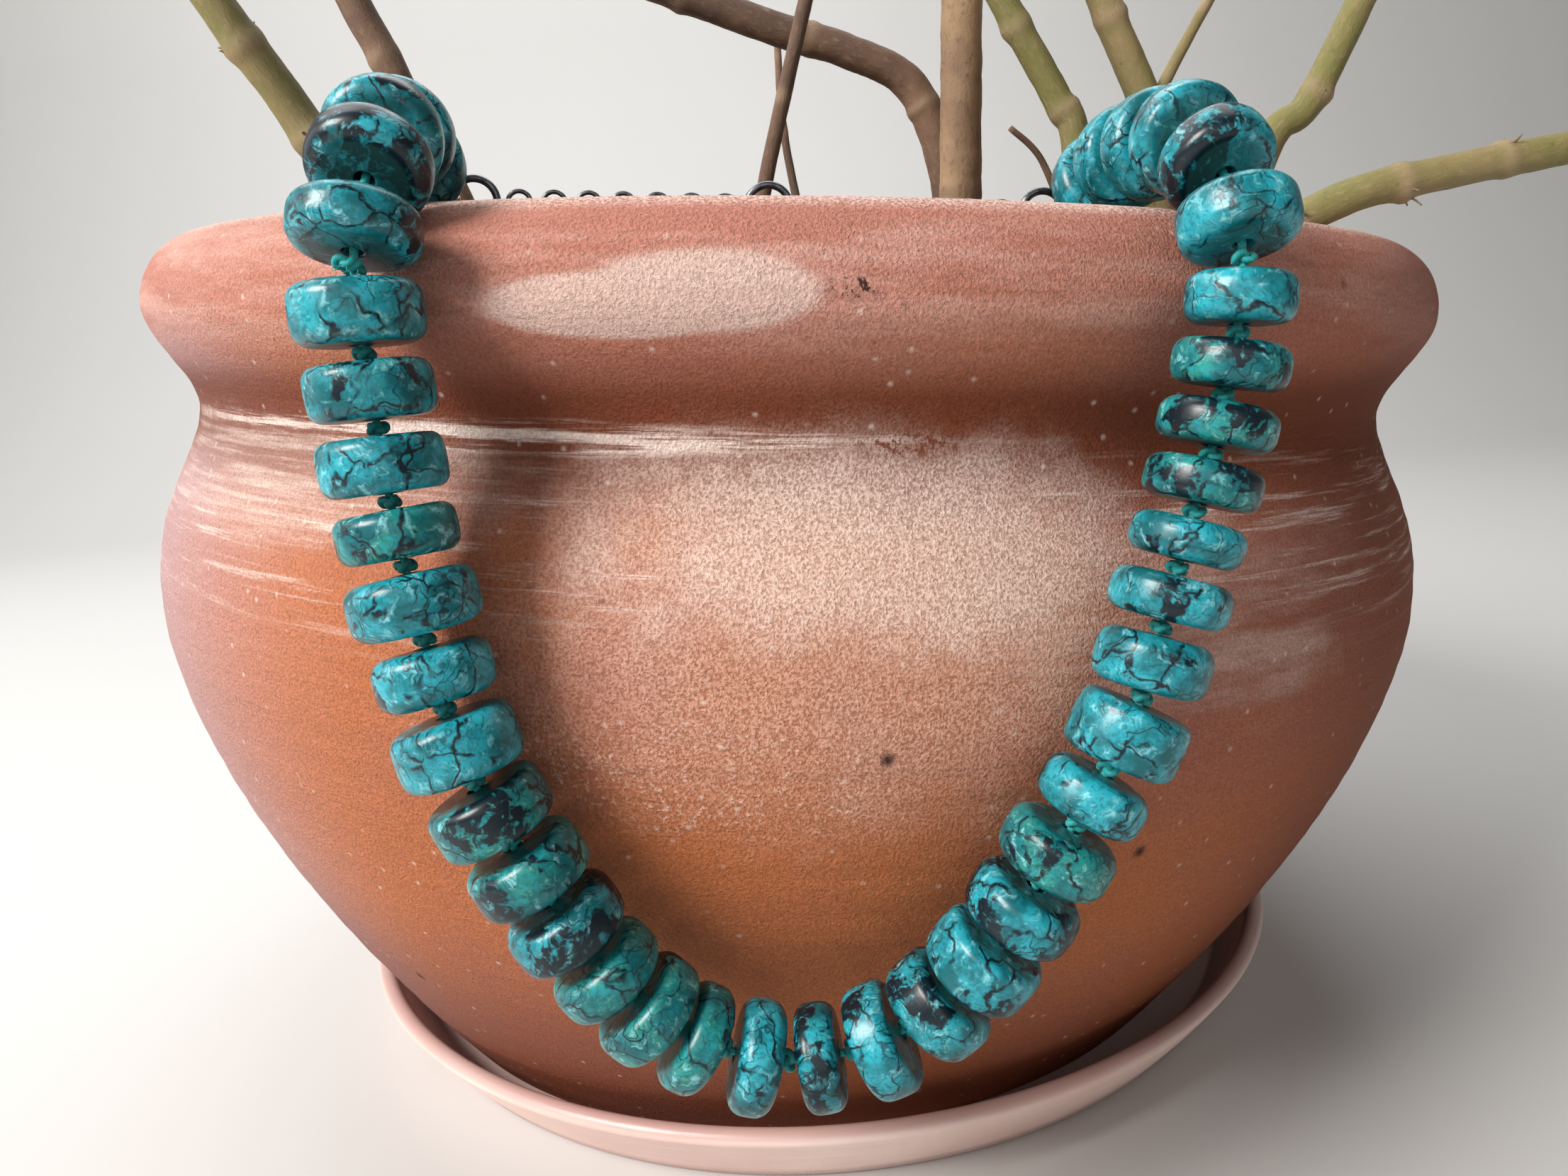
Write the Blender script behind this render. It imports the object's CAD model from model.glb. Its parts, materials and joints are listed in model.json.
"""The looks of a leaning terracotta pot with a turquoise necklace hung over its rim.

The pot stands in a pale saucer and holds soil and bare woody stems. Everything is in metres in the
CAD model's own frame: +Z is up and the front is -Y. Each finish is a small frozen dataclass that
builds its own node material, and each sub-assembly is a class that builds its own pieces.
"""

import json
import logging
import math
import random
from dataclasses import dataclass
from enum import Enum
from typing import Callable, Iterable, Sequence

import bmesh
import bpy
from mathutils import Matrix, Vector, noise


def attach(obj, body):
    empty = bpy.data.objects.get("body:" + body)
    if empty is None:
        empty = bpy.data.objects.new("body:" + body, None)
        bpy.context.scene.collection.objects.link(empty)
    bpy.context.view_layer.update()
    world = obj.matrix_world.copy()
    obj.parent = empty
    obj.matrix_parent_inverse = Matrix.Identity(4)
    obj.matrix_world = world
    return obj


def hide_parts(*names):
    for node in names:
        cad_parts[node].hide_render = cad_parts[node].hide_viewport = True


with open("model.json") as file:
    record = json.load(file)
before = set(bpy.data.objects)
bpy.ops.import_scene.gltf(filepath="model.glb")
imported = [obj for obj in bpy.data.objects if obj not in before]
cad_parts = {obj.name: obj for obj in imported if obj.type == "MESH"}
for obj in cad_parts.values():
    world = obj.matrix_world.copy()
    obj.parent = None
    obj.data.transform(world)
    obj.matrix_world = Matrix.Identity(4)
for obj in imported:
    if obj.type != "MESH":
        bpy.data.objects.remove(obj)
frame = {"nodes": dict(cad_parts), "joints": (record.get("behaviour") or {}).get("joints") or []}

log = logging.getLogger("scene")
MM = 0.001
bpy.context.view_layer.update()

Colour = tuple[float, float, float]
Point = tuple[float, float, float]
Socket = bpy.types.NodeSocket
Value = Socket | float | tuple[float, ...]


# ---------------------------------------------------------------------------
# The pot's own leaning frame and its outline
# ---------------------------------------------------------------------------


@dataclass(frozen=True)
class PotShape:
    """The pot's sizes in millimetres, as the CAD model has them.

    Its own frame has +Z along the pot's axis and Z = 0 where that axis meets the saucer's floor.
    """

    height: float = 176
    lip_r: float = 146
    lip_drop: float = 14
    lip_round: float = 13
    neck_r: float = 137
    neck_drop: float = 34.5
    belly_r: float = 147.5
    belly_drop: float = 75
    foot_r: float = 99.5
    wall: float = 10
    mouth_r: float = 128
    bottom: float = 17
    drain_d: float = 18
    lean: float = 4.8
    foot_run: float = 12
    floor: float = 4
    place: tuple[float, float] = (-9.5, 1)

    def matrix(self) -> Matrix:
        """The turn and shift, in metres, from the pot's own frame to the row frame."""
        shift = Matrix.Translation(Vector((self.place[0], self.place[1], self.floor)) * MM)
        return shift @ Matrix.Rotation(math.radians(self.lean), 4, "Y")

    def to_row(self, point: Sequence[float]) -> Vector:
        """A point of the pot's own frame in millimetres, in the row frame in metres."""
        return self.matrix() @ (Vector(point) * MM)

    def outer(self, drop: float) -> float:
        """The outer radius at a drop below the top of the rim, both in millimetres."""
        if drop < self.lip_drop:
            reach = max(0.0, 1 - drop / self.lip_drop)
            return self.lip_r - self.lip_round * (1 - math.sqrt(max(0.0, 1 - reach * reach)))
        if drop < self.neck_drop:
            share = (drop - self.lip_drop) / (self.neck_drop - self.lip_drop)
            return self.lip_r + (self.neck_r - self.lip_r) * math.sin(math.pi / 2 * share) ** 2
        if drop < self.belly_drop:
            share = (drop - self.neck_drop) / (self.belly_drop - self.neck_drop)
            return self.neck_r + (self.belly_r - self.neck_r) * (1 - (1 - share**1.6) ** 3.2)
        share = (drop - self.belly_drop) / (self.height - self.belly_drop)
        return self.belly_r + (self.foot_r - self.belly_r) * share**1.58

    def inner(self, drop: float) -> float:
        """The radius of the cavity at a drop below the rim."""
        if drop <= self.neck_drop:
            return self.mouth_r
        wall = self.outer(drop) - self.wall
        share = min(1.0, (drop - self.neck_drop) / 12)
        return min(wall, self.mouth_r + (wall - self.mouth_r) * share)

    def hang(self, drop: float) -> float:
        """The radius that a strand hangs against, from the lip straight down to the belly."""
        if drop < self.lip_drop:
            return self.lip_r
        if drop < self.belly_drop:
            share = (drop - self.lip_drop) / (self.belly_drop - self.lip_drop)
            return self.lip_r + (self.belly_r - self.lip_r) * share
        return self.outer(drop)

    def on_strand(self, degrees: float, drop: float, out: float) -> Vector:
        """A point of the strand's route, in the row frame in metres."""
        radius = self.hang(drop) + out
        angle = math.radians(degrees)
        return self.to_row((radius * math.sin(angle), -radius * math.cos(angle), self.height - drop))


POT = PotShape()


# ---------------------------------------------------------------------------
# Mesh helpers
# ---------------------------------------------------------------------------


def finish_mesh(name: str, bm: bmesh.types.BMesh, smooth: bool = True) -> bpy.types.Object:
    """Turn a bmesh into a linked object with outward normals.

    Args:
        name: the object's name.
        bm: the mesh, which is freed.
        smooth: whether its faces are shaded smooth.
    Returns:
        The new object, at the origin.
    """
    bmesh.ops.recalc_face_normals(bm, faces=bm.faces)
    for face in bm.faces:
        face.smooth = smooth
    mesh = bpy.data.meshes.new(name)
    bm.to_mesh(mesh)
    bm.free()
    piece = bpy.data.objects.new(name, mesh)
    bpy.context.scene.collection.objects.link(piece)
    return piece


def lathe(profile: Sequence[tuple[float, float]], steps: int, closed: bool) -> bmesh.types.BMesh:
    """Spin a profile of (radius, height) in metres a full turn about Z.

    Args:
        profile: the points, in order.
        steps: how many steps the turn has.
        closed: whether the last point joins the first, for a shape that never meets the axis.
    Returns:
        The spun mesh.
    """
    bm = bmesh.new()
    verts = [bm.verts.new((r, 0, z)) for r, z in profile]
    edges = [bm.edges.new(pair) for pair in zip(verts, verts[1:])]
    if closed:
        edges.append(bm.edges.new((verts[-1], verts[0])))
    bmesh.ops.spin(
        bm,
        geom=verts + edges,
        axis=(0, 0, 1),
        cent=(0, 0, 0),
        angle=math.tau,
        steps=steps,
        use_merge=True,
    )
    bmesh.ops.remove_doubles(bm, verts=bm.verts, dist=1e-7)
    return bm


def catmull(points: Sequence[Vector], steps: int) -> list[Vector]:
    """A smooth line through points, with that many steps between each two."""
    line: list[Vector] = []
    last = len(points) - 1
    for i in range(last):
        a = points[max(i - 1, 0)]
        b = points[i]
        c = points[i + 1]
        d = points[min(i + 2, last)]
        for k in range(steps):
            u = k / steps
            line.append(
                0.5
                * (
                    2 * b
                    + (c - a) * u
                    + (2 * a - 5 * b + 4 * c - d) * u * u
                    + (3 * b - a - 3 * c + d) * u**3
                )
            )
    line.append(points[last].copy())
    return line


class Line:
    """A line of points that can be asked for a place and a direction at a length along it."""

    def __init__(self, points: Sequence[Vector]) -> None:
        """Measure the line once."""
        self.points = list(points)
        self.lengths = [0.0]
        for a, b in zip(self.points, self.points[1:]):
            self.lengths.append(self.lengths[-1] + (b - a).length)

    @property
    def length(self) -> float:
        """The line's whole length."""
        return self.lengths[-1]

    def at(self, s: float) -> Vector:
        """The point at length s, kept within the line."""
        s = min(max(s, 0.0), self.length)
        low = 0
        high = len(self.lengths) - 1
        while high - low > 1:
            middle = (low + high) // 2
            if self.lengths[middle] <= s:
                low = middle
            else:
                high = middle
        step = self.lengths[high] - self.lengths[low]
        share = (s - self.lengths[low]) / step if step else 0.0
        return self.points[low].lerp(self.points[high], share)

    def way(self, s: float, reach: float = 0.0006) -> Vector:
        """The unit direction at length s."""
        return (self.at(s + reach) - self.at(s - reach)).normalized()

    def nearest(self, place: Vector) -> float:
        """The length along the line where it comes nearest to a place."""
        best = min(range(len(self.points)), key=lambda i: (self.points[i] - place).length)
        span = [max(best - 1, 0), min(best + 1, len(self.points) - 1)]
        low = self.lengths[span[0]]
        high = self.lengths[span[1]]
        tries = [low + (high - low) * k / 60 for k in range(61)]
        return min(tries, key=lambda s: (self.at(s) - place).length)


def frames_along(line: Line, count: int) -> list[tuple[float, Vector, Vector, Vector]]:
    """Even stations on a line, each as (length, point, side, up), turned as little as possible."""
    stations = []
    side = line.way(0).orthogonal().normalized()
    for i in range(count):
        s = line.length * i / (count - 1)
        way = line.way(s)
        side = (side - way * side.dot(way)).normalized()
        stations.append((s, line.at(s), side, way.cross(side)))
    return stations


def sweep(
    bm: bmesh.types.BMesh,
    line: Line,
    count: int,
    sides: int,
    radius: Callable[[float, float], float],
    closed: bool = False,
) -> list[tuple[bmesh.types.BMVert, float, float]]:
    """Add a tube along a line.

    Args:
        bm: the mesh that it is added to.
        line: the line down its middle.
        count: how many rings it has.
        sides: how many corners a ring has.
        radius: the radius at (length along, angle round).
        closed: whether the last ring joins the first.
    Returns:
        Each vertex with its length along and angle round.
    """
    rings = []
    placed = []
    for s, point, side, up in frames_along(line, count)[: count - 1 if closed else count]:
        ring = []
        for k in range(sides):
            angle = math.tau * k / sides
            reach = radius(s, angle)
            vert = bm.verts.new(point + (side * math.cos(angle) + up * math.sin(angle)) * reach)
            ring.append(vert)
            placed.append((vert, s, angle))
        rings.append(ring)
    pairs = list(zip(rings, rings[1:])) + ([(rings[-1], rings[0])] if closed else [])
    for a, b in pairs:
        for k in range(sides):
            bm.faces.new((a[k], a[(k + 1) % sides], b[(k + 1) % sides], b[k]))
    if not closed:
        bm.faces.new(reversed(rings[0]))
        bm.faces.new(rings[-1])
    return placed


def bump_noise(point: Vector, scale: float, seed: float = 0.0) -> float:
    """Smooth noise from -1 to 1 at a point, with its detail about 1 / scale metres across."""
    return noise.noise(point * scale + Vector((seed, seed * 1.7, -seed)))


def set_attribute(piece: bpy.types.Object, name: str, kind: str, values: Iterable[float]) -> None:
    """Store one value, or one vector's three numbers, for each vertex."""
    attribute = piece.data.attributes.new(name, kind, "POINT")
    attribute.data.foreach_set("vector" if kind == "FLOAT_VECTOR" else "value", list(values))


# ---------------------------------------------------------------------------
# Node graph helpers
# ---------------------------------------------------------------------------


class Graph:
    """Short calls that add nodes to one tree and join them."""

    def __init__(self, tree: bpy.types.NodeTree) -> None:
        """Work on one tree."""
        self.tree = tree

    def node(self, kind: str, inputs: dict[str | int, Value] | None = None, **settings) -> bpy.types.Node:
        """Add a node, give it settings, and set or join its inputs by name or number."""
        made = self.tree.nodes.new(kind)
        for key, value in settings.items():
            setattr(made, key, value)
        self.fill(made, inputs or {})
        return made

    def fill(self, node: bpy.types.Node, inputs: dict[str | int, Value]) -> None:
        """Set or join several of a node's inputs by name or number."""
        for key, value in inputs.items():
            self.feed(node.inputs[key], value)

    def feed(self, socket: Socket, value: Value) -> None:
        """Join another node's output to a socket, or set the socket's own value."""
        if isinstance(value, bpy.types.NodeSocket):
            self.tree.links.new(value, socket)
        elif isinstance(value, tuple) and len(value) == 3 and socket.type == "RGBA":
            socket.default_value = (*value, 1)
        else:
            socket.default_value = value

    def math(self, operation: str, *values: Value) -> Socket:
        """One Math node's result."""
        return self.node("ShaderNodeMath", dict(enumerate(values)), operation=operation).outputs[0]

    def vector(self, operation: str, *values: Value) -> Socket:
        """One Vector Math node's vector."""
        return self.node("ShaderNodeVectorMath", dict(enumerate(values)), operation=operation).outputs[0]

    def noise(self, where: Socket, scale: float, detail: float = 3, rough: float = 0.55) -> Socket:
        """Noise from 0 to 1."""
        inputs = {"Vector": where, "Scale": scale, "Detail": detail, "Roughness": rough}
        return self.node("ShaderNodeTexNoise", inputs).outputs["Fac"]

    def cells(self, where: Socket, scale: float, feature: str) -> Socket:
        """The distance in a Voronoi pattern."""
        inputs = {"Vector": where, "Scale": scale}
        return self.node("ShaderNodeTexVoronoi", inputs, feature=feature).outputs["Distance"]

    def between(
        self, value: Value, low: float, high: float, start: float = 0, end: float = 1
    ) -> Socket:
        """A smooth step from start to end as a value goes from low to high."""
        inputs = {"Value": value, "From Min": low, "From Max": high, "To Min": start, "To Max": end}
        made = self.node("ShaderNodeMapRange", inputs, interpolation_type="SMOOTHSTEP")
        return made.outputs["Result"]

    def mix(self, share: Value, a: Value, b: Value, mode: str = "MIX") -> Socket:
        """Two colours mixed by a share from 0 to 1."""
        inputs = {0: share, 6: a, 7: b}
        return self.node("ShaderNodeMix", inputs, data_type="RGBA", blend_type=mode).outputs[2]

    def bump(self, height: Socket, strength: float, distance: float, normal: Socket | None = None) -> Socket:
        """A normal bent by a height, on top of another normal if one is given."""
        inputs = {"Height": height, "Strength": strength, "Distance": distance}
        if normal is not None:
            inputs["Normal"] = normal
        return self.node("ShaderNodeBump", inputs).outputs["Normal"]

    def use(self, group: bpy.types.NodeTree, inputs: dict[str | int, Value]) -> bpy.types.Node:
        """A node that runs a shared group."""
        made = self.node("ShaderNodeGroup", node_tree=group)
        self.fill(made, inputs)
        return made


def new_group(
    name: str, inputs: dict[str, str], outputs: dict[str, str]
) -> tuple[bpy.types.NodeTree, Graph, bpy.types.Node, bpy.types.Node]:
    """An empty shared shader group.

    Args:
        name: the group's name.
        inputs: each input's name and socket type.
        outputs: each output's name and socket type.
    Returns:
        The group, its graph, its input node and its output node.
    """
    tree = bpy.data.node_groups.new(name, "ShaderNodeTree")
    for key, kind in inputs.items():
        tree.interface.new_socket(key, in_out="INPUT", socket_type=kind)
    for key, kind in outputs.items():
        tree.interface.new_socket(key, in_out="OUTPUT", socket_type=kind)
    graph = Graph(tree)
    return tree, graph, graph.node("NodeGroupInput"), graph.node("NodeGroupOutput")


class Effects:
    """The shader groups that several finishes share."""

    def __init__(self) -> None:
        """Make every group."""
        self.pot_place = self._pot_place()
        self.spot = self._spot()
        self.specks = self._specks()

    @staticmethod
    def _pot_place() -> bpy.types.NodeTree:
        """From a row-frame position to degrees round the pot and millimetres below its rim."""
        tree, g, given, out = new_group(
            "PotPlace",
            {"Position": "NodeSocketVector"},
            {"Degrees": "NodeSocketFloat", "Drop": "NodeSocketFloat", "Own": "NodeSocketVector"},
        )
        shift = tuple(-v for v in POT.matrix().translation)
        moved = g.vector("ADD", given.outputs["Position"], shift)
        turned = g.node(
            "ShaderNodeVectorRotate",
            {"Vector": moved, "Axis": (0, 1, 0), "Angle": math.radians(-POT.lean)},
        ).outputs["Vector"]
        parts = g.node("ShaderNodeSeparateXYZ", {"Vector": turned}).outputs
        angle = g.math("ARCTAN2", parts["X"], g.math("MULTIPLY", parts["Y"], -1.0))
        drop = g.math("SUBTRACT", POT.height, g.math("MULTIPLY", parts["Z"], 1000.0))
        g.fill(out, {"Degrees": g.math("DEGREES", angle), "Drop": drop, "Own": turned})
        return tree

    @staticmethod
    def _spot() -> bpy.types.NodeTree:
        """A soft oval mask at a place given in degrees and drop, with an uneven edge."""
        tree, g, given, out = new_group(
            "SoftSpot",
            {
                "Degrees": "NodeSocketFloat",
                "Drop": "NodeSocketFloat",
                "Centre": "NodeSocketVector",
                "Size": "NodeSocketVector",
                "Waver": "NodeSocketFloat",
            },
            {"Mask": "NodeSocketFloat"},
        )
        centre = g.node("ShaderNodeSeparateXYZ", {"Vector": given.outputs["Centre"]}).outputs
        size = g.node("ShaderNodeSeparateXYZ", {"Vector": given.outputs["Size"]}).outputs
        across = g.math("DIVIDE", g.math("SUBTRACT", given.outputs["Degrees"], centre["X"]), size["X"])
        down = g.math("DIVIDE", g.math("SUBTRACT", given.outputs["Drop"], centre["Y"]), size["Y"])
        away = g.math("SQRT", g.math("ADD", g.math("POWER", across, 2.0), g.math("POWER", down, 2.0)))
        uneven = g.math("ADD", away, given.outputs["Waver"])
        g.feed(out.inputs["Mask"], g.between(uneven, 1.0, 0.35))
        return tree

    @staticmethod
    def _specks() -> bpy.types.NodeTree:
        """Round specks where a cell's middle is near, only in some of the cells."""
        tree, g, given, out = new_group(
            "Specks",
            {"Vector": "NodeSocketVector", "Scale": "NodeSocketFloat", "Size": "NodeSocketFloat",
             "Share": "NodeSocketFloat"},
            {"Mask": "NodeSocketFloat"},
        )
        cell = g.node(
            "ShaderNodeTexVoronoi",
            {"Vector": given.outputs["Vector"], "Scale": given.outputs["Scale"]},
        )
        chosen = g.node("ShaderNodeSeparateColor", {"Color": cell.outputs["Color"]}).outputs[0]
        picked = g.math("LESS_THAN", chosen, given.outputs["Share"])
        near = g.node(
            "ShaderNodeMapRange",
            {"Value": cell.outputs["Distance"], "From Min": given.outputs["Size"], "From Max": 0.0},
            interpolation_type="SMOOTHSTEP",
        ).outputs["Result"]
        g.feed(out.inputs["Mask"], g.math("MULTIPLY", near, picked))
        return tree


EFFECTS = Effects()


def new_material(name: str) -> tuple[bpy.types.Material, Graph, bpy.types.Node]:
    """An empty node material with its Principled BSDF joined up."""
    material = bpy.data.materials.new(name)
    material.use_nodes = True
    material.node_tree.nodes.clear()
    g = Graph(material.node_tree)
    shader = g.node("ShaderNodeBsdfPrincipled")
    output = g.node("ShaderNodeOutputMaterial")
    g.tree.links.new(shader.outputs[0], output.inputs[0])
    return material, g, shader


# ---------------------------------------------------------------------------
# Finishes
# ---------------------------------------------------------------------------


@dataclass(frozen=True)
class Terracotta:
    """Hand-thrown red clay with sandy grain, turning lines, and a white mineral bloom."""

    orange: Colour = (0.480, 0.150, 0.052)
    red: Colour = (0.400, 0.145, 0.095)
    pink: Colour = (0.470, 0.310, 0.315)
    maroon: Colour = (0.190, 0.056, 0.034)
    brown: Colour = (0.150, 0.030, 0.007)
    bloom: Colour = (0.880, 0.720, 0.645)
    patch: Colour = (0.700, 0.520, 0.460)
    dark: Colour = (0.045, 0.018, 0.014)

    def build(self) -> bpy.types.Material:
        """Make the material."""
        material, g, shader = new_material("terracotta")
        where = g.node("ShaderNodeTexCoord").outputs["Object"]
        place = g.use(EFFECTS.pot_place, {"Position": where}).outputs
        degrees = place["Degrees"]
        drop = place["Drop"]
        own = place["Own"]
        waver = g.math("MULTIPLY", g.math("SUBTRACT", g.noise(own, 60, 5, 0.6), 0.5), 0.9)
        still = g.math("MULTIPLY", waver, 0.25)

        def spot(centre: tuple[float, float], size: tuple[float, float], edge: Socket = waver) -> Socket:
            """A soft oval, with its centre and half size as (degrees round, millimetres down)."""
            inputs = {"Degrees": degrees, "Drop": drop, "Waver": edge}
            inputs |= {"Centre": (*centre, 0), "Size": (*size, 1)}
            return g.use(EFFECTS.spot, inputs).outputs["Mask"]

        def lay(under: Value, over: Value, mask: Socket, strength: float) -> Socket:
            """One colour over another where a mask is."""
            return g.mix(g.math("MULTIPLY", mask, strength), under, over)

        streak = g.noise(g.vector("MULTIPLY", own, (1.0, 1.0, 7.0)), 26, 6, 0.62)
        thread = g.noise(g.vector("MULTIPLY", own, (1.0, 1.0, 28.0)), 22, 5, 0.7)
        cloud = g.noise(own, 14, 4, 0.55)
        grain = g.noise(own, 2000, 3, 0.65)
        sand = g.noise(own, 4200, 2, 0.6)
        coarse = g.noise(own, 1000, 4, 0.7)

        colour = g.mix(g.between(cloud, 0.36, 0.66), self.red, self.orange)
        colour = lay(colour, self.orange, spot((-4, 112), (34, 52)), 0.85)
        colour = lay(colour, self.pink, g.between(degrees, -24, -58), 0.85)
        colour = lay(colour, self.maroon, g.between(degrees, 24, 52), 0.80)
        colour = lay(colour, self.brown, g.between(drop, 112, 166), 0.70)
        neck = g.math("MULTIPLY", g.between(drop, 20, 30), g.between(drop, 50, 36))
        colour = lay(colour, self.brown, neck, 0.85)
        lip_tone = g.mix(g.between(streak, 0.38, 0.66), (0.46, 0.185, 0.135), (0.60, 0.325, 0.265))
        lip = g.math("MULTIPLY", g.between(drop, 28, 12), g.between(degrees, 58, 8, 0.5, 1.0))
        colour = lay(colour, lip_tone, lip, 0.88)

        fine = g.between(grain, 0.34, 0.62)
        line = g.math("MULTIPLY", spot((-22, 34.5), (44, 3.2)), g.between(thread, 0.42, 0.56))
        wash = g.math("MULTIPLY", spot((-40, 43), (34, 13)), g.between(thread, 0.38, 0.66, 0.15, 0.62))
        band = g.math("MULTIPLY", g.between(drop, 34, 46), g.between(drop, 74, 52))
        band = g.math("MULTIPLY", band, g.between(thread, 0.50, 0.72))
        belly = g.math("MULTIPLY", spot((4, 50), (24, 22)), g.between(fine, 0.0, 1.0, 0.48, 0.78))
        lower = g.math("MULTIPLY", spot((-3, 82), (18, 14)), g.between(coarse, 0.50, 0.68, 0.0, 0.6))
        veil = g.math("MULTIPLY", spot((4, 62), (27, 38)), g.between(fine, 0.0, 1.0, 0.12, 0.36))
        side = g.math("MULTIPLY", spot((25, 62), (22, 22)), g.between(streak, 0.40, 0.64, 0.0, 0.42))
        white = line
        for more in (wash, band, belly, lower, veil, side):
            white = g.math("MAXIMUM", white, more)
        colour = lay(colour, self.bloom, white, 0.82)
        oval = g.math("MAXIMUM", spot((-4.6, 13.5), (8.0, 7.0), still), spot((-9.5, 15.5), (9.5, 5.6), still))
        colour = lay(colour, self.patch, g.between(oval, 0.05, 0.45), 0.72)
        colour = lay(colour, self.bloom, g.math("MULTIPLY", g.between(drop, 2.6, 0.2), fine), 0.75)

        shade = g.between(grain, 0.30, 0.70, 0.74, 1.16)
        scale = g.node("ShaderNodeCombineColor", {0: shade, 1: shade, 2: shade}).outputs[0]
        colour = g.mix(1.0, colour, scale, "MULTIPLY")

        def specks(scale: float, size: float, share: float) -> Socket:
            """A mask of round specks."""
            inputs = {"Vector": own, "Scale": scale, "Size": size, "Share": share}
            return g.use(EFFECTS.specks, inputs).outputs[0]

        colour = lay(colour, self.bloom, specks(420.0, 0.30, 0.10), 0.5)
        chips = g.math("MULTIPLY", spot((3.4, 13), (2.2, 2.4)), g.between(coarse, 0.52, 0.60))
        scar = g.math("MULTIPLY", spot((7.6, 34.5), (5.5, 3.4)), g.between(coarse, 0.50, 0.58))
        pits = g.math("MAXIMUM", specks(70.0, 0.12, 0.07), chips)
        colour = lay(colour, self.brown, scar, 0.9)
        marks = g.math("MAXIMUM", g.math("MULTIPLY", specks(260.0, 0.16, 0.14), 0.5), pits)
        colour = g.mix(marks, colour, self.dark)
        g.fill(shader, {
            "Base Color": colour,
            "Roughness": g.between(grain, 0.2, 0.8, 0.66, 0.9),
            "Specular IOR Level": 0.22,
        })

        turning = g.noise(g.vector("MULTIPLY", own, (1.0, 1.0, 40.0)), 12, 3, 0.6)
        height = g.math("ADD", g.math("MULTIPLY", turning, 0.55), g.math("MULTIPLY", streak, 0.25))
        normal = g.bump(height, 0.6, 0.0009)
        normal = g.bump(coarse, 0.45, 0.0006, normal)
        normal = g.bump(grain, 0.85, 0.00040, normal)
        normal = g.bump(sand, 0.5, 0.00016, normal)
        normal = g.bump(g.math("SUBTRACT", 1.0, pits), 0.8, 0.0008, normal)
        g.feed(shader.inputs["Normal"], normal)
        return material


@dataclass(frozen=True)
class PaleClay:
    """The saucer's smooth pinkish clay, with fine turning lines."""

    base: Colour = (0.92, 0.71, 0.64)
    shade: Colour = (0.82, 0.59, 0.53)
    light: Colour = (0.95, 0.83, 0.78)

    def build(self) -> bpy.types.Material:
        """Make the material."""
        material, g, shader = new_material("pale_clay")
        where = g.node("ShaderNodeTexCoord").outputs["Object"]
        height = g.node("ShaderNodeSeparateXYZ", {"Vector": where}).outputs["Z"]
        cloud = g.noise(where, 16, 4, 0.6)
        lines = g.noise(g.vector("MULTIPLY", where, (1.0, 1.0, 30.0)), 30, 4, 0.6)
        grain = g.noise(where, 1400, 2, 0.6)
        colour = g.mix(g.between(cloud, 0.35, 0.7), self.shade, self.base)
        colour = g.mix(g.between(lines, 0.5, 0.8, 0, 0.5), colour, self.light)
        top = g.between(height, 0.0145, 0.0168)
        colour = g.mix(g.math("MULTIPLY", top, 0.65), colour, (0.30, 0.14, 0.13))
        foot = g.between(height, 0.0035, 0.0004)
        colour = g.mix(g.math("MULTIPLY", foot, 0.45), colour, (0.42, 0.27, 0.25))
        dust = g.use(EFFECTS.specks, {"Vector": where, "Scale": 300.0, "Size": 0.14, "Share": 0.1}).outputs[0]
        colour = g.mix(g.math("MULTIPLY", dust, 0.5), colour, (0.30, 0.16, 0.14))
        g.fill(shader, {
            "Base Color": colour,
            "Roughness": g.between(top, 0.0, 1.0, 0.62, 0.34),
        })
        normal = g.bump(lines, 0.35, 0.0004)
        g.feed(shader.inputs["Normal"], g.bump(grain, 0.25, 0.0001, normal))
        return material


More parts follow.
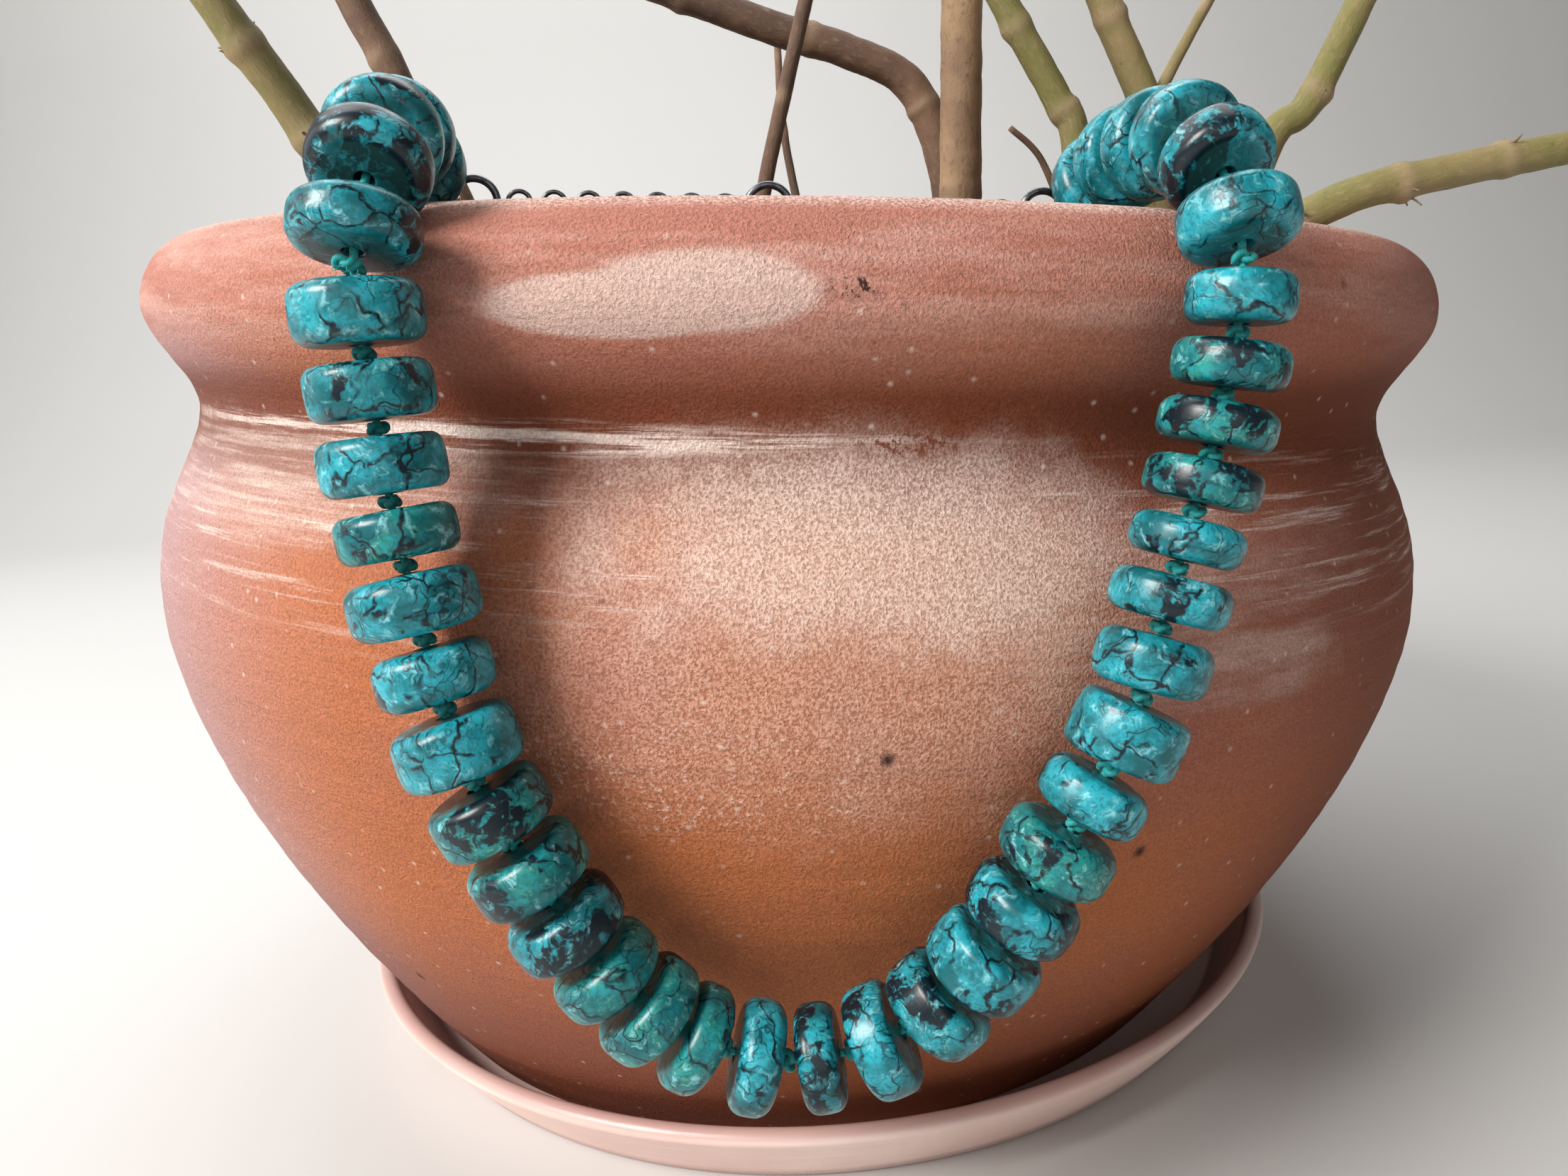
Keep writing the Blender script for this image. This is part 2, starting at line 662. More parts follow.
@dataclass(frozen=True)
class Turquoise:
    """Polished turquoise with dark matrix. Each bead's own tone and pattern come from attributes."""

    sky: Colour = (0.018, 0.340, 0.420)
    sea: Colour = (0.002, 0.100, 0.118)
    green: Colour = (0.012, 0.210, 0.140)
    pale: Colour = (0.270, 0.700, 0.780)
    matrix: Colour = (0.001, 0.008, 0.014)
    end: Colour = (0.030, 0.100, 0.095)

    def build(self) -> bpy.types.Material:
        """Make the material."""
        material, g, shader = new_material("turquoise")
        where = g.node("ShaderNodeAttribute", attribute_name="stone").outputs["Vector"]
        tone = g.node("ShaderNodeAttribute", attribute_name="tone").outputs["Vector"]
        parts = g.node("ShaderNodeSeparateXYZ", {"Vector": tone}).outputs
        greenness = parts["X"]
        patchiness = parts["Y"]
        face = parts["Z"]

        bend = g.node("ShaderNodeTexNoise", {"Vector": where, "Scale": 190.0, "Detail": 3.0}).outputs["Color"]
        bent = g.vector("ADD", where, g.vector("MULTIPLY", bend, (0.0065, 0.0065, 0.0065)))
        cloud = g.noise(where, 150, 5, 0.6)
        mottle = g.noise(bent, 460, 4, 0.65)
        fleck = g.noise(bent, 1500, 3, 0.6)

        blue = g.mix(g.between(cloud, 0.36, 0.62), self.sea, self.sky)
        olive = g.mix(g.between(cloud, 0.36, 0.62), self.sea, self.green)
        lean = g.math("ADD", greenness, g.math("MULTIPLY", g.math("SUBTRACT", mottle, 0.5), 1.6))
        colour = g.mix(g.between(lean, 0.25, 0.85), blue, olive)
        colour = g.mix(g.between(mottle, 0.52, 0.72, 0, 0.75), colour, self.pale)
        colour = g.mix(g.between(fleck, 0.48, 0.64, 0, 0.6), colour, self.sea)

        wide = g.cells(bent, 120, "DISTANCE_TO_EDGE")
        web = g.cells(g.vector("ADD", bent, (0.31, 0.17, 0.05)), 300, "DISTANCE_TO_EDGE")
        where_web = g.between(g.noise(where, 120, 3), 0.46, 0.60)
        vein = g.between(wide, 0.050, 0.006)
        vein = g.math("MULTIPLY", vein, g.between(g.noise(where, 210, 2), 0.36, 0.52))
        fine = g.math("MULTIPLY", g.between(web, 0.060, 0.006), where_web)
        patch_at = g.math("SUBTRACT", g.noise(bent, 105, 5, 0.62), g.math("MULTIPLY", patchiness, 0.16))
        patch = g.between(patch_at, 0.400, 0.350)
        dark = g.math("MAXIMUM", g.math("MAXIMUM", vein, g.math("MULTIPLY", fine, 0.8)), patch)
        broken = g.between(g.noise(bent, 800, 3), 0.28, 0.46)
        colour = g.mix(g.math("MULTIPLY", dark, broken), colour, self.matrix)
        colour = g.mix(g.math("MULTIPLY", face, 0.45), colour, self.end)
        g.fill(shader, {
            "Base Color": colour,
            "Roughness": g.math("ADD", 0.26, g.math("MULTIPLY", mottle, 0.16)),
            "Specular IOR Level": 0.38,
            "Coat Weight": 0.14,
            "Coat Roughness": 0.18,
        })
        normal = g.bump(g.math("SUBTRACT", 1.0, dark), 0.25, 0.00012)
        g.feed(shader.inputs["Normal"], g.bump(cloud, 0.20, 0.0004, normal))
        return material


@dataclass(frozen=True)
class Silk:
    """Teal twisted silk."""

    light: Colour = (0.012, 0.500, 0.490)
    deep: Colour = (0.004, 0.270, 0.280)

    def build(self) -> bpy.types.Material:
        """Make the material."""
        material, g, shader = new_material("silk")
        where = g.node("ShaderNodeTexCoord").outputs["Object"]
        fibre = g.noise(g.vector("MULTIPLY", where, (1.0, 1.0, 0.35)), 5200, 3, 0.7)
        cloud = g.noise(where, 420, 3)
        colour = g.mix(g.between(fibre, 0.3, 0.7), self.deep, self.light)
        colour = g.mix(g.between(cloud, 0.4, 0.7, 0, 0.35), colour, (0.06, 0.42, 0.38))
        g.fill(shader, {
            "Base Color": colour,
            "Roughness": 0.58,
            "Sheen Weight": 0.5,
            "Sheen Roughness": 0.35,
            "Normal": g.bump(fibre, 0.7, 0.00010),
        })
        return material


@dataclass(frozen=True)
class Metal:
    """A plated metal with light tarnish."""

    name: str
    base: Colour
    tarnish: Colour
    rough: float

    def build(self) -> bpy.types.Material:
        """Make the material."""
        material, g, shader = new_material(self.name)
        where = g.node("ShaderNodeTexCoord").outputs["Object"]
        cloud = g.noise(where, 900, 4, 0.6)
        scuff = g.noise(where, 5000, 3, 0.6)
        g.fill(shader, {
            "Base Color": g.mix(g.between(cloud, 0.4, 0.7), self.base, self.tarnish),
            "Metallic": 1.0,
        })
        rough = g.math("ADD", self.rough, g.math("MULTIPLY", g.math("SUBTRACT", scuff, 0.5), 0.3))
        g.fill(shader, {
            "Roughness": rough,
            "Normal": g.bump(scuff, 0.15, 0.00005),
        })
        return material


@dataclass(frozen=True)
class Soil:
    """Dark potting soil."""

    light: Colour = (0.075, 0.045, 0.028)
    deep: Colour = (0.016, 0.010, 0.007)

    def build(self) -> bpy.types.Material:
        """Make the material."""
        material, g, shader = new_material("soil")
        where = g.node("ShaderNodeTexCoord").outputs["Object"]
        lump = g.noise(where, 260, 6, 0.7)
        fibre = g.noise(where, 1600, 4, 0.7)
        colour = g.mix(g.between(lump, 0.35, 0.7), self.deep, self.light)
        colour = g.mix(g.between(fibre, 0.62, 0.75, 0, 0.6), colour, (0.16, 0.10, 0.06))
        g.fill(shader, {
            "Base Color": colour,
            "Roughness": 0.95,
            "Specular IOR Level": 0.15,
        })
        normal = g.bump(lump, 0.9, 0.003)
        g.feed(shader.inputs["Normal"], g.bump(fibre, 0.8, 0.0008, normal))
        return material


@dataclass(frozen=True)
class Crumbs:
    """Grit and perlite on the soil. The attribute "tone" goes from dark crumb to white perlite."""

    def build(self) -> bpy.types.Material:
        """Make the material."""
        material, g, shader = new_material("crumbs")
        where = g.node("ShaderNodeTexCoord").outputs["Object"]
        tone = g.node("ShaderNodeAttribute", attribute_name="tone").outputs["Fac"]
        rough = g.noise(where, 1500, 3, 0.7)
        dark = g.mix(rough, (0.020, 0.012, 0.008), (0.12, 0.075, 0.045))
        pale = g.mix(rough, (0.42, 0.38, 0.32), (0.72, 0.70, 0.66))
        g.fill(shader, {
            "Base Color": g.mix(g.between(tone, 0.78, 0.86), dark, pale),
            "Roughness": 0.9,
            "Normal": g.bump(rough, 0.8, 0.0005),
        })
        return material


class Bark(Enum):
    """The kinds of bark, each as (young colour, old colour, scar colour)."""

    GREEN = ((0.185, 0.170, 0.045), (0.270, 0.200, 0.085), (0.360, 0.250, 0.150))
    TAN = ((0.360, 0.225, 0.120), (0.220, 0.130, 0.070), (0.110, 0.060, 0.035))
    BROWN = ((0.175, 0.092, 0.050), (0.100, 0.052, 0.032), (0.280, 0.180, 0.110))

    def build(self) -> bpy.types.Material:
        """Make the material for this kind of bark."""
        young, old, scar = self.value
        material, g, shader = new_material(f"bark_{self.name.lower()}")
        along = g.node("ShaderNodeAttribute", attribute_name="bark").outputs["Vector"]
        mark = g.node("ShaderNodeAttribute", attribute_name="mark").outputs["Fac"]
        where = g.node("ShaderNodeTexCoord").outputs["Object"]
        streak = g.noise(g.vector("MULTIPLY", along, (1.0, 1.0, 0.12)), 3.2, 5, 0.65)
        cloud = g.noise(where, 45, 4, 0.6)
        fine = g.noise(g.vector("MULTIPLY", along, (1.0, 1.0, 0.5)), 14, 4, 0.7)
        colour = g.mix(g.between(cloud, 0.35, 0.66), young, old)
        colour = g.mix(g.between(streak, 0.50, 0.72, 0, 0.6), colour, scar)
        spots = {"Vector": where, "Scale": 420.0, "Size": 0.26, "Share": 0.3}
        pores = g.use(EFFECTS.specks, spots).outputs[0]
        colour = g.mix(g.math("MULTIPLY", pores, 0.55), colour, (0.09, 0.055, 0.035))
        colour = g.mix(g.math("MULTIPLY", mark, g.between(fine, 0.3, 0.6, 0.4, 1.0)), colour, scar)
        g.fill(shader, {
            "Base Color": colour,
            "Roughness": 0.62,
        })
        normal = g.bump(streak, 0.5, 0.0006)
        g.feed(shader.inputs["Normal"], g.bump(fine, 0.5, 0.0003, normal))
        return material


@dataclass(frozen=True)
class Paint:
    """The plain floor's off-white paint."""

    base: Colour = (0.53, 0.525, 0.515)

    def build(self) -> bpy.types.Material:
        """Make the material."""
        material, g, shader = new_material("floor_paint")
        where = g.node("ShaderNodeTexCoord").outputs["Object"]
        cloud = g.noise(where, 3, 3)
        g.fill(shader, {
            "Base Color": g.mix(cloud, self.base, (0.56, 0.555, 0.545)),
            "Roughness": 0.55,
        })
        return material


class Finishes:
    """Every material, made once."""

    def __init__(self) -> None:
        """Make every material."""
        self.terracotta = Terracotta().build()
        self.pale_clay = PaleClay().build()
        self.turquoise = Turquoise().build()
        self.silk = Silk().build()
        self.copper = Metal("copper", (0.70, 0.36, 0.24), (0.30, 0.15, 0.10), 0.32).build()
        self.gunmetal = Metal("gunmetal", (0.20, 0.21, 0.23), (0.07, 0.075, 0.085), 0.34).build()
        self.soil = Soil().build()
        self.crumbs = Crumbs().build()
        self.bark = {kind: kind.build() for kind in Bark}
        self.paint = Paint().build()


def dress(piece: bpy.types.Object, material: bpy.types.Material, body: str) -> bpy.types.Object:
    """Give a new piece its material, its slot in the record and the body that it rides on."""
    piece.data.materials.append(material)
    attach(piece, body)
    log.info("piece %s: %d faces, rides on %s", piece.name, len(piece.data.polygons), body)
    return piece


# ---------------------------------------------------------------------------
# Camera and studio
# ---------------------------------------------------------------------------


@dataclass(frozen=True)
class Camera:
    """The camera, placed in the pot's own frame, so it is rolled a little against the floor."""

    distance: float = 305.5
    below_rim: float = 20.0
    pitch: float = -12.02
    yaw: float = -0.12
    roll: float = 0.45
    lens: float = 26.69

    def build(self) -> bpy.types.Object:
        """Make the camera and set it as the scene's."""
        data = bpy.data.cameras.new("camera")
        data.lens = self.lens
        data.sensor_width = 36
        data.clip_start = 0.01
        camera = bpy.data.objects.new("camera", data)
        bpy.context.scene.collection.objects.link(camera)
        up_down = Matrix.Rotation(math.radians(90 + self.pitch), 4, "X")
        across = Matrix.Rotation(math.radians(-self.yaw), 4, "Z")
        turned = Matrix.Rotation(math.radians(self.roll), 4, "Z")
        place = Vector((0, -self.distance, POT.height - self.below_rim)) * MM
        camera.matrix_world = POT.matrix() @ Matrix.Translation(place) @ across @ up_down @ turned
        bpy.context.scene.camera = camera
        return camera


@dataclass(frozen=True)
class AreaLight:
    """A soft rectangular light that points at the pot."""

    name: str
    place: Point
    size: tuple[float, float]
    power: float
    colour: Colour
    aim: Point = (0, 0, 0.10)

    def build(self) -> None:
        """Make the light."""
        data = bpy.data.lights.new(self.name, "AREA")
        data.shape = "RECTANGLE"
        data.size, data.size_y = self.size
        data.energy = self.power
        data.color = self.colour
        light = bpy.data.objects.new(self.name, data)
        light.visible_camera = False
        bpy.context.scene.collection.objects.link(light)
        way = Vector(self.aim) - Vector(self.place)
        turn = way.to_track_quat("-Z", "Y").to_matrix().to_4x4()
        light.matrix_world = Matrix.Translation(self.place) @ turn


@dataclass(frozen=True)
class Studio:
    """A pale floor that curves up into a backdrop, with soft lights."""

    half_width: float = 2.6
    front: float = -2.0
    back: float = 1.5
    rise: float = 2.4
    curve: float = 0.6

    def floor(self, finishes: Finishes) -> None:
        """Make the floor and backdrop as one swept sheet."""
        profile = [(self.front, 0.0), (self.back - self.curve, 0.0)]
        for k in range(1, 17):
            angle = math.pi / 2 * k / 16
            y = self.back - self.curve + self.curve * math.sin(angle)
            profile.append((y, self.curve * (1 - math.cos(angle))))
        profile.append((self.back, self.rise))
        bm = bmesh.new()
        verts = [bm.verts.new((-self.half_width, y, z)) for y, z in profile]
        edges = [bm.edges.new(pair) for pair in zip(verts, verts[1:])]
        made = bmesh.ops.extrude_edge_only(bm, edges=edges)
        moved = [item for item in made["geom"] if isinstance(item, bmesh.types.BMVert)]
        bmesh.ops.translate(bm, vec=(2 * self.half_width, 0, 0), verts=moved)
        piece = finish_mesh("floor", bm)
        piece.data.materials.append(finishes.paint)

    def lights(self) -> None:
        """Make the lights and the soft surround."""
        for light in (
            AreaLight("key", (-0.92, -0.80, 1.02), (0.6, 0.6), 33, (1.0, 0.975, 0.94)),
            AreaLight("window", (-0.30, 0.60, 1.20), (1.6, 1.0), 17, (1.0, 1.0, 1.0), (-0.30, 0.60, 0)),
            AreaLight("left", (-1.35, 0.10, 0.55), (0.9, 0.9), 3.2, (0.98, 0.99, 1.0)),
            AreaLight("room", (0.10, -1.45, 0.60), (1.4, 0.8), 3.5, (1.0, 0.96, 0.92)),
        ):
            light.build()
        world = bpy.data.worlds.new("surround")
        world.use_nodes = True
        background = world.node_tree.nodes["Background"]
        background.inputs["Color"].default_value = (1.0, 0.975, 0.95, 1)
        background.inputs["Strength"].default_value = 0.15
        bpy.context.scene.world = world

    def build(self, finishes: Finishes) -> None:
        """Make the whole studio."""
        self.floor(finishes)
        self.lights()
        bpy.context.scene.view_settings.view_transform = "Standard"
        bpy.context.scene.view_settings.look = "None"
        bpy.context.scene.view_settings.exposure = 0.0


# ---------------------------------------------------------------------------
# Pot, saucer and soil
# ---------------------------------------------------------------------------


@dataclass(frozen=True)
class ClayPot:
    """The hand-thrown pot, slightly uneven, cut level where it stands on the saucer."""

    steps: int = 288
    uneven: float = 0.35

    def profile(self) -> list[tuple[float, float]]:
        """The closed outline as (radius, height above the axis's foot) in metres."""
        outline = []
        for k in range(25):
            angle = math.pi / 2 * k / 24
            radius = POT.lip_r - POT.lip_round * (1 - math.sin(angle))
            outline.append((radius, POT.lip_drop * (1 - math.cos(angle))))
        last = POT.height + POT.foot_run
        steps = 150
        for k in range(1, steps + 1):
            drop = POT.lip_drop + (last - POT.lip_drop) * k / steps
            outline.append((POT.outer(drop), drop))
        outline.append((POT.drain_d / 2, last))
        floor = POT.height - POT.bottom
        outline.append((POT.drain_d / 2, floor + 1))
        outline.append((POT.drain_d / 2 + 1, floor))
        for k in range(1, 9):
            outline.append((POT.inner(floor) * k / 9, floor))
        for k in range(61):
            drop = floor + (POT.neck_drop - floor) * k / 60
            outline.append((POT.inner(drop), drop))
        for drop in (24, 14, 6, 3):
            outline.append((POT.mouth_r, drop))
        outline += [(POT.mouth_r + 0.25, 1.7), (POT.mouth_r + 0.9, 0.9), (POT.mouth_r + 1.7, 0.25)]
        outline.append((POT.mouth_r + 3, 0))
        return [(r * MM, (POT.height - drop) * MM) for r, drop in outline]

    def roughen(self, bm: bmesh.types.BMesh) -> None:
        """Push the surface in and out a little: turning ridges, dents and an uneven lip."""
        for vert in bm.verts:
            x, y, z = vert.co
            radius = math.hypot(x, y)
            drop = POT.height - z / MM
            outside = radius > (POT.inner(max(0.0, drop)) + 3) * MM
            if not outside or drop > POT.height - 12:
                continue
            angle = math.atan2(y, x)
            ridge = bump_noise(Vector((math.cos(angle) * 0.02, math.sin(angle) * 0.02, z * 6)), 60, 3)
            dent = bump_noise(vert.co, 22, 7)
            small = bump_noise(vert.co, 90, 11)
            push = (0.45 * ridge + 0.4 * dent + 0.15 * small - 0.35) * self.uneven * MM
            keep = min(1.0, max(0.0, (drop - 1) / 6))
            vert.co.x += x / radius * push * keep
            vert.co.y += y / radius * push * keep

    def build(self, finishes: Finishes) -> bpy.types.Object:
        """Make the pot."""
        bm = lathe(self.profile(), self.steps, closed=True)
        self.roughen(bm)
        bm.transform(POT.matrix())
        cut = bmesh.ops.bisect_plane(
            bm,
            geom=list(bm.verts) + list(bm.edges) + list(bm.faces),
            plane_co=(0, 0, POT.floor * MM),
            plane_no=(0, 0, 1),
            clear_inner=True,
        )
        edges = [item for item in cut["geom_cut"] if isinstance(item, bmesh.types.BMEdge)]
        bmesh.ops.bridge_loops(bm, edges=edges)
        piece = finish_mesh("clay_pot", bm)
        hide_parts("pot")
        return dress(piece, finishes.terracotta, "pot")


@dataclass(frozen=True)
class Saucer:
    """The shallow saucer, in millimetres."""

    height: float = 17
    inner_r: float = 113
    lip: float = 4
    foot_r: float = 107
    floor: float = 4

    def build(self, finishes: Finishes) -> bpy.types.Object:
        """Make the saucer."""
        middle = self.inner_r + self.lip / 2
        crest = self.height - self.lip / 2
        outline = [(0.0, 0.0)]
        outline += [(r, 0.0) for r in (30, 60, 90, self.foot_r - 3)]
        outline += [(self.foot_r - 1.5, 0.0), (self.foot_r - 0.5, 0.4), (self.foot_r, 1.5)]
        outer = self.inner_r + self.lip
        for k in range(1, 12):
            share = k / 12
            bulge = 0.35 * math.sin(math.pi * share)
            radius = self.foot_r + (outer - self.foot_r) * share + bulge
            outline.append((radius, 1.5 + (crest - 1.5) * share))
        for k in range(17):
            angle = math.pi * k / 16
            outline.append((middle + self.lip / 2 * math.cos(angle), crest + self.lip / 2 * math.sin(angle)))
        corner = self.foot_r + (outer - self.foot_r) / (crest - 1.5) * self.floor - self.lip
        for k in range(1, 9):
            share = k / 9
            outline.append((self.inner_r + (corner - self.inner_r) * share,
                            crest + (self.floor + 1.5 - crest) * share))
        outline += [(corner, self.floor + 1.5), (corner - 0.4, self.floor + 0.45)]
        outline += [(corner - 1.5, self.floor)]
        outline += [(r, self.floor) for r in (80, 50, 20)] + [(0.0, self.floor)]
        bm = lathe([(r * MM, z * MM) for r, z in outline], 256, closed=False)
        piece = finish_mesh("clay_saucer", bm)
        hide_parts("saucer")
        return dress(piece, finishes.pale_clay, "saucer")


@dataclass(frozen=True)
class SoilBed:
    """The soil, with a lumpy top and loose crumbs."""

    drop: float = 26
    mound: float = 6
    gap: float = 0.3
    crumbs: int = 620

    def top(self, radius: float) -> float:
        """The height of the soil's smooth top above the foot, in millimetres."""
        edge = POT.height - self.drop
        knee = POT.mouth_r * 0.55
        if radius < knee:
            return edge + self.mound * (1 - 0.3 * radius / knee)
        return edge + self.mound * 0.7 * (1 - (radius - knee) / (POT.mouth_r - knee))

    def surface(self, finishes: Finishes) -> bpy.types.Object:
        """Make the soil itself."""
        reach = POT.mouth_r - self.gap
        outline = [(reach * k / 70, self.top(reach * k / 70) - 0.6) for k in range(71)]
        floor = POT.height - POT.bottom
        for k in range(31):
            drop = POT.neck_drop + (floor - POT.neck_drop) * k / 30
            outline.append((POT.inner(drop) - self.gap, POT.height - drop + (self.gap if k == 30 else 0)))
        outline.append((0.0, POT.bottom + self.gap))
        bm = lathe([(r * MM, z * MM) for r, z in outline], 220, closed=False)
        for vert in bm.verts:
            radius = math.hypot(vert.co.x, vert.co.y) / MM
            if vert.co.z / MM > self.top(radius) - 2 and radius < reach - 0.5:
                lump = bump_noise(vert.co, 55, 2) * 0.9 + bump_noise(vert.co, 160, 5) * 0.7
                lump += bump_noise(vert.co, 420, 9) * 0.5
                vert.co.z += lump * MM
        bm.transform(POT.matrix())
        piece = finish_mesh("soil_bed", bm)
        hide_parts("soil")
        return dress(piece, finishes.soil, "pot")

    def loose(self, finishes: Finishes) -> bpy.types.Object:
        """Make the crumbs and bits of perlite that lie on the soil."""
        chance = random.Random(41)
        bm = bmesh.new()
        tones = []
        for _ in range(self.crumbs):
            radius = math.sqrt(chance.random()) * (POT.mouth_r - 7)
            angle = chance.random() * math.tau
            size = chance.uniform(0.7, 2.6) * MM
            tone = chance.random()
            place = Vector((radius * math.cos(angle), radius * math.sin(angle), self.top(radius))) * MM
            turn = Matrix.Rotation(chance.random() * math.tau, 4, Vector((1, chance.random(), 0.3)))
            stretch = Matrix.Diagonal((1, chance.uniform(0.5, 0.9), chance.uniform(0.4, 0.8), 1))
            made = bmesh.ops.create_icosphere(
                bm, subdivisions=2, radius=size, matrix=Matrix.Translation(place) @ turn @ stretch
            )
            for vert in made["verts"]:
                vert.co += (vert.co - place) * 0.35 * bump_noise(vert.co, 700, tone * 9)
                tones.append(tone)
        bm.transform(POT.matrix())
        piece = finish_mesh("soil_crumbs", bm, smooth=False)
        set_attribute(piece, "tone", "FLOAT", tones)
        return dress(piece, finishes.crumbs, "pot")

    def build(self, finishes: Finishes) -> None:
        """Make the soil and its crumbs."""
        self.surface(finishes)
        self.loose(finishes)


# ---------------------------------------------------------------------------
# Stems
# ---------------------------------------------------------------------------


@dataclass(frozen=True)
class Stem:
    """One bare stem in the pot's own frame: points with heights above the rim, in millimetres."""

    name: str
    points: tuple[Point, ...]
    thick: tuple[float, float]
    bark: Bark
    spacing: float = 26.0
    first_scar: float = 30.0
    scars: float = 1.0
    crease: float = 0.0
    papery: float = 0.0

    @staticmethod
    def front_angle(line: Line) -> float:
        """The angle round a stem's line that faces the front."""
        side = line.way(0).orthogonal().normalized()
        up = line.way(0).cross(side)
        return math.atan2(-up.y, -side.y)

    def line(self) -> Line:
        """The line down the stem's middle, in the row frame."""
        return Line(catmull([POT.to_row((x, y, POT.height + z)) for x, y, z in self.points], 14))

    def scar_places(self, length: float) -> list[tuple[float, float]]:
        """Where the leaf scars are, as (length along, angle round)."""
        places = []
        s = self.first_scar * MM
        turn = 0.6
        while s < length - 0.006 and self.scars > 0:
            places.append((s, turn))
            s += self.spacing * MM * (0.85 + 0.3 * abs(math.sin(turn * 3.7)))
            turn += 2.4
        return places

    def add(self, bm: bmesh.types.BMesh) -> list[tuple[float, float, float, float]]:
        """Add the stem to a mesh and return (cos, sin, millimetres along, scar mark) by vertex."""
        line = self.line()
        scars = self.scar_places(line.length)
        front = self.front_angle(line)
        seed = float(len(self.name) + self.thick[0] * 3 + self.points[0][0])

        def swelling(s: float, angle: float) -> float:
            """How strongly a leaf scar is felt at this place, from 0 to 1."""
            most = 0.0
            for place, turn in scars:
                ring = math.exp(-(((s - place) / 0.0016) ** 2))
                side = 0.45 + 0.55 * max(0.0, math.cos(angle - turn))
                most = max(most, ring * side)
            return most

        def radius(s: float, angle: float) -> float:
            """The stem's radius here."""
            share = s / line.length
            base = (self.thick[0] + (self.thick[1] - self.thick[0]) * share) / 2 * MM
            around = Vector((math.cos(angle), math.sin(angle), s * 220))
            wave = 0.045 * noise.noise(around + Vector((seed, 0, 0)))
            fine = 0.02 * noise.noise(around * 3.1 + Vector((0, seed, 0)))
            off = math.remainder(angle - front, math.tau)
            fine -= self.crease * math.exp(-((off / 0.22) ** 2))
            return base * (1 + wave + fine - 0.03 + 0.20 * self.scars * swelling(s, angle))

        count = max(24, int(line.length / 0.0009))
        placed = sweep(bm, line, count, 22, radius)
        marks = []
        for _, s, angle in placed:
            marks.append((math.cos(angle), math.sin(angle), s / MM, min(1.0, 1.3 * swelling(s, angle))))
        if self.papery:
            marks += self.scales(bm, line, scars)
        return marks

    def scales(
        self, bm: bmesh.types.BMesh, line: Line, scars: Sequence[tuple[float, float]]
    ) -> list[tuple[float, float, float, float]]:
        """Add the dry curled scales that stand out from the leaf scars, and return their marks."""
        stations = frames_along(line, 400)
        chance = random.Random(self.name)
        marks = []
        for place, turn in scars:
            s, middle, side, up = stations[round(place / line.length * 399)]
            way = side.cross(up)
            reach = (self.thick[0] + (self.thick[1] - self.thick[0]) * s / line.length) / 2 * MM
            for k in range(4):
                angle = turn + (k - 1.5) * 0.8 + chance.uniform(-0.2, 0.2)
                out = side * math.cos(angle) + up * math.sin(angle)
                size = self.papery * chance.uniform(1.6, 3.2) * MM
                root = middle + out * reach * 0.94 - way * 0.4 * MM
                curl = chance.uniform(-0.4, 0.7)
                points = [root, root + (way * 0.6 + out * 0.25) * size,
                          root + (way * (0.8 + 0.3 * curl) + out * (0.55 + 0.4 * curl)) * size]
                blade = Line(catmull(points, 6))
                for _, _, around in sweep(bm, blade, 9, 10, self.blade_width(blade.length, turn)):
                    marks.append((math.cos(around), math.sin(around), s / MM, 1.0))
        return marks

    @staticmethod
    def blade_width(length: float, turn: float) -> Callable[[float, float], float]:
        """The outline of a flat blade that tapers to its tip, for sweep()."""

        def width(s: float, around: float) -> float:
            """The reach from the blade's middle line."""
            wide = (1.05 - 0.9 * s / length) * 0.8 * MM
            thin = 0.14 * MM
            return 1 / math.hypot(math.cos(around - turn) / wide, math.sin(around - turn) / thin)

        return width


